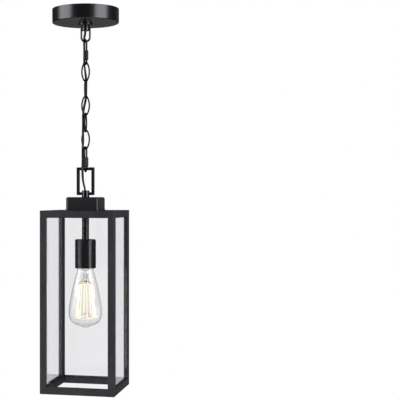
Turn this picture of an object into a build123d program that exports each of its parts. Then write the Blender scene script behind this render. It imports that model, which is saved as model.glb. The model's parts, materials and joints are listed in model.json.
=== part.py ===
from build123d import *
from math import acos, asin, atan2, cos, hypot, pi, radians, sin, sqrt, tan
import os

# Hanging lantern: a square glazed cage on a chain under a round ceiling canopy.
# Millimetres. The origin is the middle of the ceiling plane, +Z is up, the front faces -Y.
# Everything hangs below the ceiling, so each height is worked out from the piece above it.

# ---------------------------------------------------------------- driving dimensions

# clearances
THREAD_GAP = 0.05           # radial, a thread drawn as a plain cylinder in its hole
SLIP_GAP = 0.1              # radial, a tube or pin that slides in its hole
HANG_GAP = 0.25             # between two links where one hangs in the other
SEAM_GAP = 0.15             # between a rail's end and its post
GLASS_GAP = 0.2             # round a pane in its rebate

# canopy and ceiling fixings
CANOPY_OD = 135.0
CANOPY_HEIGHT = 28.0
CANOPY_WALL = 1.0
CANOPY_EDGE_R = 1.8
CANOPY_HOLE_GAP = 0.4       # radial, round the neck's thread
STRAP_WIDTH = 19.0
STRAP_THICK = 2.0
BOX_SCREWS_NEAR = 69.85     # screw spacing of a small ceiling box
BOX_SCREWS_FAR = 88.9       # screw spacing of a large ceiling box
BOX_SLOT_WIDTH = 4.6
STRAP_END_MARGIN = 5.0
GROUND_SCREW_D = 4.1
GROUND_SCREW_HEAD_AF = 7.0
GROUND_SCREW_HEAD = 3.0
GROUND_SCREW_X = 21.0

# lamp pipe thread, its bore and its nuts
PIPE_OD = 9.6
PIPE_BORE = 7.0
PIPE_NUT_AF = 14.0
PIPE_NUT_HEIGHT = 4.0
NUT_END_CUT = 0.06          # share of a nut's width that its turned ends lose

# collar ring and ceiling loop
COLLAR_OD = 28.0
COLLAR_HEIGHT = 4.5
NECK_THREAD_OD = 19.0
NECK_THREAD_LENGTH = 15.5
NECK_OD = 15.5
NECK_BELOW_CANOPY = 15.6
NECK_THREAD_BELOW_COLLAR = 1.0
NECK_TOP_CUT = 0.8
NECK_FOOT_R = 1.2
LOOP_WIRE = 4.0
LOOP_WIDTH = 21.5
LOOP_BELOW_NECK = 23.7
LOOP_SHOULDER_R = 4.95      # bend where the loop's wire turns down from the neck

# quick links
QUICK_WIRE = 3.5
QUICK_INNER_LENGTH = 46.2
QUICK_INNER_WIDTH = 14.5
QUICK_MOUTH = 6.6           # gap in one leg that the sleeve nut closes
SLEEVE_AF = 6.6
SLEEVE_LENGTH = 20.0
SLEEVE_GRIP = 4.0           # thread that the sleeve holds below the mouth
SLEEVE_ABOVE_BEND = 0.4     # from the end of the lower bend up to the closed sleeve
SLEEVE_TAPER_LENGTH = 2.2
SLEEVE_TAPER = 0.7          # share of the sleeve's wall that its tapered ends lose

# chain
CHAIN_LINKS = 5
CHAIN_WIRE = 3.2
CHAIN_INNER_LENGTH = 34.4
CHAIN_INNER_WIDTH = 12.3
CHAIN_END_R = 4.2           # centre line of the tight end bend

# bail and its stud
BAIL_WIDTH = 36.6
BAIL_HEIGHT = 56.2
BAIL_BAR = 6.0
BAIL_BAR_EDGE_R = 1.0
BAIL_CORNER_R = 1.2
BAIL_PIN_D = 4.4
STUD_OD = 15.5
STUD_ABOVE_PIVOT = 6.6
STUD_BELOW_PIVOT = 6.9
STUD_TOP_CUT = 0.8
SPIGOT_OD = 12.0
SPIGOT_LENGTH = 10.0

# cap
CAP_WIDTH = 66.7
CAP_HEIGHT = 26.6
CAP_WALL = 1.2
CAP_CORNER_R = 5.0
CAP_TOP_R = 4.0
CAP_BEAD_HEIGHT = 2.8
CAP_BEAD_OUT = 0.8

# frame
FRAME_WIDTH = 150.4
FRAME_HEIGHT = 361.7
TUBE_WIDTH = 13.5
TUBE_WALL = 1.0
TUBE_EDGE_R = 1.0
POST_FOOT_R = 0.8
TOP_RAIL_HEIGHT = 14.4
BOTTOM_RAIL_HEIGHT = 15.0
PLATE_THICK = 1.5
PLATE_LAP = 3.0

# glass, its rebates and its clips
GLASS_THICK = 3.0
GLASS_SETBACK = 4.2         # from the frame's outer face to the pane
RAIL_REBATE = 3.5
POST_REBATE = 2.5
CLIP_WIDTH = 8.0
CLIP_THICK = 1.0
CLIP_FOOT = 7.0
CLIP_OVERLAP = 3.2

# stem, socket cup and lampholder
STEM_OD = 14.4
STEM_LENGTH = 57.3
CUP_OD = 42.2
CUP_HEIGHT = 58.0
CUP_WALL = 1.0
CUP_EDGE_R = 2.0
HOLDER_RECESS = 8.0         # from the cup's rim up to the lampholder
HOLDER_THREAD_DEPTH = 7.0
HOLDER_RIM_R = 1.2
SHELL_SETBACK = 1.0         # from the holder's rim up to the shell's edge
SHELL_WALL = 0.5
SHELL_SPARE = 2.0           # length of the shell beyond the bulb's metal cap
CONTACT_DROP = 3.0          # from the holder's floor down to the tongue's contact face
CONTACT_THICK = 0.6
CONTACT_WIDTH = 6.0
CONTACT_REACH = 8.7         # from the middle of the holder to the tongue's root

# bulb, glass measured from the socket cup's rim
BULB_CAP_OD = 26.0
BULB_CAP_HEIGHT = 20.0
BULB_CAP_WALL = 0.4
BULB_THREAD_PITCH = 3.6
BULB_THREAD_DEPTH = 0.8
BULB_D = 66.5
BULB_NECK_D = 32.5
BULB_WIDEST_BELOW_RIM = 89.0
BULB_LENGTH_BELOW_RIM = 116.0
BULB_GLASS = 1.0
BULB_IN_CAP = 1.5           # glass neck inside the metal cap
BULB_SHOULDER_R = 100.0
BULB_CORNER_R = 20.0
BULB_TIP_D = 15.7
BULB_TIP_HEIGHT = 4.3
BULB_SEAT_GAP = 0.2
BULB_SHOULDER = 2.0          # cone at the top of the metal cap
BULB_INSULATOR_OUT = 0.4
BULB_TIP_CONTACT = 2.0
FILAMENT_STRANDS = 8
FILAMENT_D = 0.6
FILAMENT_TOP_R = 9.5
FILAMENT_FOOT_R = 17.5
FILAMENT_TOP = 32.0         # both heights below the rim
FILAMENT_FOOT = 101.0
SUPPORT_D = 0.8
SPIDER_RISE = 12.0          # from the feet of the strands up to the lower spider's hub
SPIDER_HUB_D = 4.8
SPIDER_HUB = 3.0
MOUNT_D = 8.0
MOUNT_PIN_D = 3.2
MOUNT_BELOW_RIM = 8.0

# cord
CORD_D = 3.0
CORD_HOLE_GAP = 0.4         # radial, in the lampholder
CORD_IN_HOLDER = 6.0

os.makedirs("parts", exist_ok=True)


# ---------------------------------------------------------------- heights, from the ceiling down

neck_foot_z = -CANOPY_HEIGHT - NECK_BELOW_CANOPY
neck_thread_foot_z = -CANOPY_HEIGHT - COLLAR_HEIGHT - NECK_THREAD_BELOW_COLLAR
neck_top_z = neck_thread_foot_z + NECK_THREAD_LENGTH
loop_wire_z = neck_foot_z - LOOP_BELOW_NECK + LOOP_WIRE / 2        # lowest point of its centre line


def hang(upper_wire_z, upper_wire, lower_wire):
    """Height of the top wire of a link that hangs on a wire above."""
    return upper_wire_z + (upper_wire + lower_wire) / 2 + HANG_GAP


quick_length = QUICK_INNER_LENGTH + QUICK_WIRE
quick_half_width = (QUICK_INNER_WIDTH + QUICK_WIRE) / 2
chain_length = CHAIN_INNER_LENGTH + CHAIN_WIRE

top_quick_z = hang(loop_wire_z, LOOP_WIRE, QUICK_WIRE)
top_quick_foot_z = top_quick_z - quick_length
link_z = []
foot_z, foot_wire = top_quick_foot_z, QUICK_WIRE
for n in range(CHAIN_LINKS):
    link_z.append(hang(foot_z, foot_wire, CHAIN_WIRE))
    foot_z, foot_wire = link_z[-1] - chain_length, CHAIN_WIRE
bottom_quick_z = hang(foot_z, foot_wire, QUICK_WIRE)
bottom_quick_foot_z = bottom_quick_z - quick_length

# the square bar sits on the flanks of the round bend, a little above its lowest point
quick_bend_inner_r = quick_half_width - QUICK_WIRE / 2
bar_flat_half = BAIL_BAR / 2 - BAIL_BAR_EDGE_R / 2
bar_rise = quick_bend_inner_r - sqrt(quick_bend_inner_r**2 - bar_flat_half**2)
bail_bar_z = hang(bottom_quick_foot_z, QUICK_WIRE, BAIL_BAR) + bar_rise
pivot_z = bail_bar_z - BAIL_HEIGHT + BAIL_BAR

stud_top_z = pivot_z + STUD_ABOVE_PIVOT
cap_top_z = pivot_z - STUD_BELOW_PIVOT
frame_top_z = cap_top_z - CAP_HEIGHT
frame_foot_z = frame_top_z - FRAME_HEIGHT
plate_foot_z = frame_top_z - PLATE_THICK
cup_top_z = plate_foot_z - STEM_LENGTH
cup_rim_z = cup_top_z - CUP_HEIGHT
holder_foot_z = cup_rim_z + HOLDER_RECESS
pipe_nut_foot_z = cup_top_z - CUP_WALL - PIPE_NUT_HEIGHT
pipe_foot_z = pipe_nut_foot_z - HOLDER_THREAD_DEPTH + SLIP_GAP


# ---------------------------------------------------------------- helpers

STANDING = (Align.CENTER, Align.CENTER, Align.MIN)      # a solid that stands on its base at z = 0


def rod(radius, z_low, z_high):
    """Upright cylinder on the Z axis."""
    return Pos(0, 0, z_low) * Cylinder(radius, z_high - z_low, align=STANDING)


def hex_bar(across_flats, height, end_cut, end_slope):
    """Standing hexagon bar, both ends turned down by end_cut along the bar and end_slope across it."""
    bar = extrude(RegularPolygon(across_flats / 2, 6, major_radius=False), height)
    turned = Cylinder(across_flats / sqrt(3), height, align=STANDING)
    return bar & chamfer(turned.edges().filter_by(GeomType.CIRCLE), end_cut, end_slope)


def hex_nut(across_flats, bore_r, z_low, z_high):
    """Hexagon nut on the Z axis between two heights."""
    cut = NUT_END_CUT * across_flats
    bar = Pos(0, 0, z_low) * hex_bar(across_flats, z_high - z_low, cut, cut)
    return bar - rod(bore_r, z_low - 1, z_high + 1)


def in_plane(part, lengthwise):
    """A link is drawn in the XZ plane. Every second one is turned to stand in the YZ plane."""
    return part if lengthwise else Rot(0, 0, 90) * part


def four_times(part):
    """The same piece on the front, right, rear and left side, in that order."""
    return [Rot(0, 0, quarter * 90) * part for quarter in range(4)]


made = {}


def keep(name, part):
    """Remembers a finished sub-part under its node name."""
    made[name] = part


# ---------------------------------------------------------------- canopy and ceiling fixings

def canopy():
    outer_r = CANOPY_OD / 2
    cup = rod(outer_r, -CANOPY_HEIGHT, 0)
    cup = fillet(cup.edges().group_by(Axis.Z)[0], CANOPY_EDGE_R)
    hollow = rod(outer_r - CANOPY_WALL, -CANOPY_HEIGHT + CANOPY_WALL, 0)
    hollow = fillet(hollow.edges().group_by(Axis.Z)[0], CANOPY_EDGE_R - CANOPY_WALL / 2)
    hole = rod(NECK_THREAD_OD / 2 + CANOPY_HOLE_GAP, -2 * CANOPY_HEIGHT, 0)
    return cup - hollow - hole


def mounting_strap():
    length = BOX_SCREWS_FAR + BOX_SLOT_WIDTH + 2 * STRAP_END_MARGIN
    slot_middle = (BOX_SCREWS_NEAR + BOX_SCREWS_FAR) / 4
    slot_length = (BOX_SCREWS_FAR - BOX_SCREWS_NEAR) / 2 + BOX_SLOT_WIDTH
    outline = RectangleRounded(length, STRAP_WIDTH, STRAP_WIDTH / 4)
    outline -= Circle(PIPE_OD / 2 + THREAD_GAP)
    outline -= Pos(GROUND_SCREW_X, 0) * Circle(GROUND_SCREW_D / 2 + THREAD_GAP)
    for side in (-1, 1):
        outline -= Pos(side * slot_middle, 0) * SlotOverall(slot_length, BOX_SLOT_WIDTH)
    return extrude(outline, -STRAP_THICK)


def ground_screw():
    shank = rod(GROUND_SCREW_D / 2, -STRAP_THICK - GROUND_SCREW_HEAD, 0)
    head = hex_nut(GROUND_SCREW_HEAD_AF, GROUND_SCREW_D / 4, -STRAP_THICK - GROUND_SCREW_HEAD, -STRAP_THICK)
    return Pos(GROUND_SCREW_X, 0, 0) * (shank + head)


def pipe_nut(top_z):
    return hex_nut(PIPE_NUT_AF, PIPE_OD / 2 + THREAD_GAP, top_z - PIPE_NUT_HEIGHT, top_z)


def canopy_nipple():
    foot_z = neck_foot_z + NECK_OD / 2
    return rod(PIPE_OD / 2, foot_z, 0) - rod(PIPE_BORE / 2, foot_z - 1, 1)


def collar_ring():
    ring = rod(COLLAR_OD / 2, -CANOPY_HEIGHT - COLLAR_HEIGHT, -CANOPY_HEIGHT)
    ring = fillet(ring.edges().group_by(Axis.Z)[0], COLLAR_HEIGHT / 3)
    return ring - rod(NECK_THREAD_OD / 2 + THREAD_GAP, -2 * CANOPY_HEIGHT, 0)


def ceiling_loop():
    """Hollow threaded neck and a round-wire loop, cast in one piece."""
    neck = rod(NECK_THREAD_OD / 2, neck_thread_foot_z, neck_top_z)
    neck = chamfer(neck.edges().group_by(Axis.Z)[-1], NECK_TOP_CUT)
    lower = rod(NECK_OD / 2, neck_foot_z, neck_thread_foot_z)
    lower = fillet(lower.edges().group_by(Axis.Z)[0], NECK_FOOT_R)
    leg_x = (LOOP_WIDTH - LOOP_WIRE) / 2
    bend_z = loop_wire_z + leg_x
    root = (-NECK_OD / 2 + LOOP_WIRE / 2, 0, neck_thread_foot_z - LOOP_WIRE / 2)
    shoulder = (-leg_x, 0, neck_foot_z + LOOP_WIRE)
    left = FilletPolyline(root, shoulder, (-leg_x, 0, bend_z), radius=LOOP_SHOULDER_R)
    bend = ThreePointArc((-leg_x, 0, bend_z), (0, 0, loop_wire_z), (leg_x, 0, bend_z))
    path = Wire([*left.edges(), *bend.edges(), *mirror(left, Plane.YZ).edges()])
    start = Plane(origin=path @ 0, z_dir=path % 0)
    wire = sweep(start * Circle(LOOP_WIRE / 2), path=path)
    body = neck + lower + wire
    body -= rod(PIPE_BORE / 2, neck_foot_z - 1, 0)
    body -= rod(PIPE_OD / 2 + THREAD_GAP, neck_foot_z + NECK_OD / 2 - 1, 0)
    return body


keep("canopy", canopy())
keep("mounting_strap", mounting_strap())
keep("ground_screw", ground_screw())
keep("canopy_nipple", canopy_nipple())
keep("strap_nut", pipe_nut(-STRAP_THICK))
keep("collar_ring", collar_ring())
keep("ceiling_loop", ceiling_loop())


# ---------------------------------------------------------------- chain

def oval_path():
    """Centre line of a chain link: four tangent arcs, with the top at the origin."""
    half_length = chain_length / 2
    half_width = (CHAIN_INNER_WIDTH + CHAIN_WIRE) / 2
    end_rise = half_length - CHAIN_END_R
    side_r = (half_width**2 + end_rise**2 - CHAIN_END_R**2) / (2 * (half_width - CHAIN_END_R))
    lean = atan2(end_rise, side_r - half_width)           # where an end arc meets a side arc
    meet_x = CHAIN_END_R * cos(lean)
    meet_z = end_rise + CHAIN_END_R * sin(lean)
    high, low = -half_length + meet_z, -half_length - meet_z
    top = ThreePointArc((meet_x, 0, high), (0, 0, 0), (-meet_x, 0, high))
    left = ThreePointArc((-meet_x, 0, high), (-half_width, 0, -half_length), (-meet_x, 0, low))
    foot = ThreePointArc((-meet_x, 0, low), (0, 0, -chain_length), (meet_x, 0, low))
    right = ThreePointArc((meet_x, 0, low), (half_width, 0, -half_length), (meet_x, 0, high))
    return Wire([*top.edges(), *left.edges(), *foot.edges(), *right.edges()])


def chain_link():
    path = oval_path()
    start = Plane(origin=path @ 0, z_dir=path % 0)
    return sweep(start * Circle(CHAIN_WIRE / 2), path=path)


def sleeve_rest():
    """Heights of the closed sleeve nut and of the mouth, below the quick link's top centre line."""
    straight_foot = -quick_length + quick_half_width
    sleeve_foot = straight_foot + SLEEVE_ABOVE_BEND
    mouth_foot = sleeve_foot + SLEEVE_GRIP
    return sleeve_foot, mouth_foot


def quick_link():
    """C of round wire in the XZ plane, with its mouth in the leg at -X and its top at the origin."""
    half, foot = quick_half_width, -quick_length
    mouth_foot = sleeve_rest()[1]
    lower = Line((-half, 0, mouth_foot), (-half, 0, foot + half))
    foot_bend = ThreePointArc((-half, 0, foot + half), (0, 0, foot), (half, 0, foot + half))
    back = Line((half, 0, foot + half), (half, 0, -half))
    top_bend = ThreePointArc((half, 0, -half), (0, 0, 0), (-half, 0, -half))
    upper = Line((-half, 0, -half), (-half, 0, mouth_foot + QUICK_MOUTH))
    path = Wire([e for piece in (lower, foot_bend, back, top_bend, upper) for e in piece.edges()])
    start = Plane(origin=path @ 0, z_dir=path % 0)
    return sweep(start * Circle(QUICK_WIRE / 2), path=path)


def sleeve_nut():
    """Long hexagon nut with tapered ends, closed over the mouth."""
    low = sleeve_rest()[0]
    bore_r = QUICK_WIRE / 2 + SLIP_GAP
    end_slope = SLEEVE_TAPER * (SLEEVE_AF / sqrt(3) - bore_r)
    bar = hex_bar(SLEEVE_AF, SLEEVE_LENGTH, SLEEVE_TAPER_LENGTH, end_slope)
    return Pos(-quick_half_width, 0, low) * (bar - rod(bore_r, -1, SLEEVE_LENGTH + 1))


quick_body = quick_link()
quick_nut = sleeve_nut()
link_body = chain_link()
# the quick links stand in the YZ plane with the mouth at the rear
for place, z in (("top", top_quick_z), ("bottom", bottom_quick_z)):
    keep(f"{place}_quick_link", Pos(0, 0, z) * Rot(0, 0, -90) * quick_body)
    keep(f"{place}_sleeve_nut", Pos(0, 0, z) * Rot(0, 0, -90) * quick_nut)
for n in range(CHAIN_LINKS):
    keep(f"chain_link_{n + 1}", Pos(0, 0, link_z[n]) * in_plane(link_body, n % 2 == 0))


# ---------------------------------------------------------------- bail, stud and cap

def bail():
    """Square bar bent to a rectangle, its two ends turned down to pivot pins."""
    half_x = (BAIL_WIDTH - BAIL_BAR) / 2
    end_x = STUD_OD / 2 + 4 * SLIP_GAP
    bar = RectangleRounded(BAIL_BAR, BAIL_BAR, BAIL_BAR_EDGE_R)
    outer = Pos(0, 0, (bail_bar_z + pivot_z) / 2) * Box(BAIL_WIDTH, BAIL_BAR, BAIL_HEIGHT)
    window = Pos(0, 0, (bail_bar_z + pivot_z) / 2) * Box(
        BAIL_WIDTH - 2 * BAIL_BAR, 2 * BAIL_BAR, BAIL_HEIGHT - 2 * BAIL_BAR)
    outer = fillet(outer.edges().filter_by(Axis.Y), BAIL_CORNER_R)
    gap = Pos(0, 0, pivot_z) * Box(2 * end_x, 2 * BAIL_BAR, 2 * BAIL_BAR)
    ring = outer - window
    ring = fillet(ring.faces().sort_by(Axis.Y)[0].edges(), BAIL_BAR_EDGE_R)
    ring = fillet(ring.faces().sort_by(Axis.Y)[-1].edges(), BAIL_BAR_EDGE_R)
    ring -= gap
    pin_length = end_x - PIPE_BORE / 2 - 2 * SLIP_GAP
    for side in (-1, 1):
        pin_x = side * (end_x - pin_length / 2)
        ring += Pos(pin_x, 0, pivot_z) * Rot(0, 90, 0) * Cylinder(BAIL_PIN_D / 2, pin_length)
    return ring


def loop_stud():
    body = rod(STUD_OD / 2, cap_top_z, stud_top_z)
    body = chamfer(body.edges().group_by(Axis.Z)[-1], STUD_TOP_CUT)
    body += rod(SPIGOT_OD / 2, cap_top_z - SPIGOT_LENGTH, cap_top_z)
    body -= rod(PIPE_BORE / 2, cap_top_z - 2 * SPIGOT_LENGTH, stud_top_z + 1)
    body -= rod(PIPE_OD / 2 + THREAD_GAP, cap_top_z - 2 * SPIGOT_LENGTH, cap_top_z + 1)
    holes = Pos(0, 0, pivot_z) * Rot(0, 90, 0) * Cylinder(BAIL_PIN_D / 2 + SLIP_GAP, 2 * STUD_OD)
    return body - holes


def cap_shape(inset):
    """The pan's solid outline, moved inwards by inset."""
    width = CAP_WIDTH - 2 * inset
    body = extrude(RectangleRounded(width, width, CAP_CORNER_R - inset), CAP_HEIGHT - inset)
    return fillet(body.faces().sort_by(Axis.Z)[-1].edges(), CAP_TOP_R - inset)


def cap():
    shell = Pos(0, 0, frame_top_z) * cap_shape(0)
    bead_width = CAP_WIDTH + 2 * CAP_BEAD_OUT
    bead = extrude(RectangleRounded(bead_width, bead_width, CAP_CORNER_R + CAP_BEAD_OUT), CAP_BEAD_HEIGHT)
    bead = fillet(bead.faces().sort_by(Axis.Z)[-1].edges(), CAP_BEAD_OUT * 0.9)
    shell += Pos(0, 0, frame_top_z) * bead
    shell -= Pos(0, 0, frame_top_z) * cap_shape(CAP_WALL)
    return shell - rod(SPIGOT_OD / 2 + SLIP_GAP, frame_top_z, cap_top_z + 1)


keep("bail", bail())
keep("loop_stud", loop_stud())
keep("cap", cap())


# ---------------------------------------------------------------- frame of rebated tube

half_frame = FRAME_WIDTH / 2
post_face = half_frame - TUBE_WIDTH                      # inner face of a post or rail
glass_outer = half_frame - GLASS_SETBACK                 # outer face of a pane
glass_inner = glass_outer - GLASS_THICK
post_seat = post_face + POST_REBATE                      # where a pane's edge stops in a post
plate_half = post_face + PLATE_LAP
plate_pocket = Pos(0, 0, plate_foot_z) * Box(
    2 * (plate_half + SLIP_GAP), 2 * (plate_half + SLIP_GAP), PLATE_THICK + 1, align=STANDING)


def tube(outline, outer_corners, length):
    """Prism of a tube with its wall, closed at both ends by sheet, its outer corners rounded."""
    sharp = make_face(Polyline(*outline, close=True))
    core = offset(sharp, -TUBE_WALL, kind=Kind.INTERSECTION)
    rounded = fillet([v for v in sharp.vertices() if outer_corners(v)], TUBE_EDGE_R)
    return extrude(rounded, length) - Pos(0, 0, TUBE_WALL) * extrude(core, length - 2 * TUBE_WALL)


def post():
    """Corner post at +X, -Y: square tube with a rebate for each of its two panes."""
    low, high, out, seat = post_face, half_frame, glass_outer, post_seat
    outline = [(high, -high), (low, -high), (low, -out), (seat, -out), (seat, -seat), (out, -seat),
               (out, -low), (high, -low)]
    body = Pos(0, 0, frame_foot_z) * tube(outline, lambda v: max(v.X, -v.Y) > high - 0.01, FRAME_HEIGHT)
    foot = body.edges().group_by(Axis.Z)[0]
    outer = [e for e in foot if max(e.center().X, -e.center().Y) > high - TUBE_EDGE_R]
    return fillet(outer, min(POST_FOOT_R, 0.9 * TUBE_WALL)) - plate_pocket


def rail_outline(height, glass_above):
    """Rail seen along its length: X is the depth from the outer face, Y the height.

    A rail with its pane above it has an upstand in front of the glass. One with its pane below it has a lip
    there, and a shelf at the top for the plate.
    """
    ledge = height - RAIL_REBATE
    if glass_above:
        return [(0, 0), (TUBE_WIDTH, 0), (TUBE_WIDTH, ledge), (GLASS_SETBACK, ledge), (GLASS_SETBACK, height),
                (0, height)]
    lap, shelf = TUBE_WIDTH - PLATE_LAP - SLIP_GAP, height - PLATE_THICK
    return [(0, 0), (GLASS_SETBACK, 0), (GLASS_SETBACK, RAIL_REBATE), (TUBE_WIDTH, RAIL_REBATE),
            (TUBE_WIDTH, shelf), (lap, shelf), (lap, height), (0, height)]


def rail(outline, z):
    """Front rail between two posts, from its outline of depth and height."""
    length = 2 * (post_face - SEAM_GAP)
    along_x = Plane(origin=(-length / 2, -half_frame, z), x_dir=(0, 1, 0), z_dir=(1, 0, 0))
    return along_x * tube(outline, lambda v: v.X < 0.01, length)


def pane():
    """Front pane: stands on the bottom rail's ledge and ends inside the top rail's rebate."""
    low = frame_foot_z + BOTTOM_RAIL_HEIGHT - RAIL_REBATE
    high = frame_top_z - TOP_RAIL_HEIGHT + RAIL_REBATE - GLASS_GAP
    width = 2 * (post_seat - 2 * GLASS_GAP)
    size = Box(width, GLASS_THICK - GLASS_GAP, high - low, align=STANDING)
    return Pos(0, -(glass_outer + glass_inner) / 2, low) * size


def clip(ledge_z, up):
    """Bent tab at the middle of a front rail. Its foot is on the rail, its toe laps over the pane."""
    face, toe = TUBE_WIDTH, GLASS_SETBACK + GLASS_THICK
    sign = 1 if up else -1
    points = [(face, -CLIP_FOOT), (face + CLIP_THICK, -CLIP_FOOT), (face + CLIP_THICK, CLIP_THICK),
              (toe + CLIP_THICK, CLIP_THICK), (toe + CLIP_THICK, CLIP_OVERLAP), (toe, CLIP_OVERLAP),
              (toe, 0), (face, 0)]
    outline = make_face(Polyline(*[(x, sign * y) for x, y in points], close=True))
    along_x = Plane(origin=(-CLIP_WIDTH / 2, -half_frame, ledge_z), x_dir=(0, 1, 0), z_dir=(1, 0, 0))
    return along_x * extrude(outline, CLIP_WIDTH)


sides = ("front", "right", "rear", "left")
corners = ("front_right", "rear_right", "rear_left", "front_left")
bottom_ledge_z = frame_foot_z + BOTTOM_RAIL_HEIGHT - RAIL_REBATE
top_ledge_z = frame_top_z - TOP_RAIL_HEIGHT + RAIL_REBATE
top_rail = rail(rail_outline(TOP_RAIL_HEIGHT, glass_above=False), frame_top_z - TOP_RAIL_HEIGHT)
bottom_rail = rail(rail_outline(BOTTOM_RAIL_HEIGHT, glass_above=True), frame_foot_z)
for corner, piece in zip(corners, four_times(post())):
    keep(f"post_{corner}", piece)
for side, piece in zip(sides, four_times(top_rail)):
    keep(f"top_rail_{side}", piece)
for side, piece in zip(sides, four_times(bottom_rail)):
    keep(f"bottom_rail_{side}", piece)
for side, piece in zip(sides, four_times(pane())):
    keep(f"glass_{side}", piece)
keep("glass_clips_top", Compound(children=four_times(clip(top_ledge_z, False))))
keep("glass_clips_bottom", Compound(children=four_times(clip(bottom_ledge_z, True))))


# ---------------------------------------------------------------- plate, pipe, stem and socket cup

def top_plate():
    sheet = Rectangle(2 * plate_half, 2 * plate_half) - Circle(PIPE_OD / 2 + SLIP_GAP)
    return Pos(0, 0, plate_foot_z) * extrude(sheet, PLATE_THICK)


def lamp_pipe():
    top = cap_top_z + 1 - SLIP_GAP
    return rod(PIPE_OD / 2, pipe_foot_z, top) - rod(PIPE_BORE / 2, pipe_foot_z - 1, top + 1)


def stem_tube():
    bore = rod(PIPE_OD / 2 + SLIP_GAP, cup_top_z - 1, plate_foot_z + 1)
    return rod(STEM_OD / 2, cup_top_z, plate_foot_z) - bore


def socket_cup():
    cup = rod(CUP_OD / 2, cup_rim_z, cup_top_z)
    cup = fillet(cup.edges().group_by(Axis.Z)[-1], CUP_EDGE_R)
    hollow = rod(CUP_OD / 2 - CUP_WALL, cup_rim_z, cup_top_z - CUP_WALL)
    hollow = fillet(hollow.edges().group_by(Axis.Z)[-1], CUP_EDGE_R - CUP_WALL / 2)
    return cup - hollow - rod(PIPE_OD / 2 + SLIP_GAP, cup_rim_z, cup_top_z + 1)


shell_inner_r = BULB_CAP_OD / 2 + SLIP_GAP
shell_outer_r = shell_inner_r + SHELL_WALL
shell_top_z = holder_foot_z + BULB_CAP_HEIGHT + SHELL_SPARE


def lampholder_body():
    """Insulating cylinder: threaded for the pipe above, bored for the screw shell below."""
    outer_r = CUP_OD / 2 - CUP_WALL - SLIP_GAP
    body = rod(outer_r, holder_foot_z, pipe_nut_foot_z)
    body = chamfer(body.edges().group_by(Axis.Z)[-1], CUP_EDGE_R)
    body = fillet(body.edges().group_by(Axis.Z)[0], HOLDER_RIM_R)
    body -= rod(shell_outer_r + THREAD_GAP, holder_foot_z - 1, shell_top_z)
    body -= rod(PIPE_OD / 2 + THREAD_GAP, pipe_nut_foot_z - HOLDER_THREAD_DEPTH, pipe_nut_foot_z + 1)
    return body - rod(CORD_D / 2 + CORD_HOLE_GAP, shell_top_z - 1, pipe_nut_foot_z)


def lampholder_shell():
    tube_part = rod(shell_outer_r, holder_foot_z + SHELL_SETBACK, shell_top_z)
    return tube_part - rod(shell_inner_r, holder_foot_z, shell_top_z + 1)


def lampholder_contact():
    """Spring tongue under the holder's floor, cranked down to press on the bulb's tip."""
    reach, half, down, thick = CONTACT_REACH, CONTACT_WIDTH / 2, CONTACT_DROP, CONTACT_THICK
    points = [(-reach, 0), (-reach, -thick), (thick - reach, -thick), (-half, -down), (half, -down),
              (half, thick - down), (thick / 2 - half, thick - down), (thick / 2 - reach + 2 * thick, 0)]
    outline = make_face(Polyline(*points, close=True))
    across = Plane(origin=(0, half, shell_top_z), x_dir=(1, 0, 0), z_dir=(0, -1, 0))
    return across * extrude(outline, CONTACT_WIDTH)


keep("top_plate", top_plate())
keep("lamp_pipe", lamp_pipe())
keep("stem_tube", stem_tube())
keep("pipe_nut", pipe_nut(cup_top_z - CUP_WALL))
keep("socket_cup", socket_cup())
keep("lampholder_body", lampholder_body())
keep("lampholder_shell", lampholder_shell())
keep("lampholder_contact", lampholder_contact())


# ---------------------------------------------------------------- bulb

cap_outer_r = BULB_CAP_OD / 2
cap_root_r = cap_outer_r - BULB_THREAD_DEPTH
cap_inner_r = cap_root_r - BULB_CAP_WALL
bead_r = cap_inner_r / 2                                 # insulating bead in the cap's top
cap_top = shell_top_z - CONTACT_DROP - BULB_SEAT_GAP - BULB_TIP_CONTACT - BULB_INSULATOR_OUT
cap_foot = cap_top - BULB_CAP_HEIGHT                     # the threaded metal cap's open end
neck_glass_r = cap_inner_r - SLIP_GAP                    # the glass where it goes up into the metal cap
neck_glass_top = cap_foot + BULB_IN_CAP
widest_z = cup_rim_z - BULB_WIDEST_BELOW_RIM
round_foot_z = cup_rim_z - BULB_LENGTH_BELOW_RIM         # lowest point of the round end, without its tip


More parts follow.
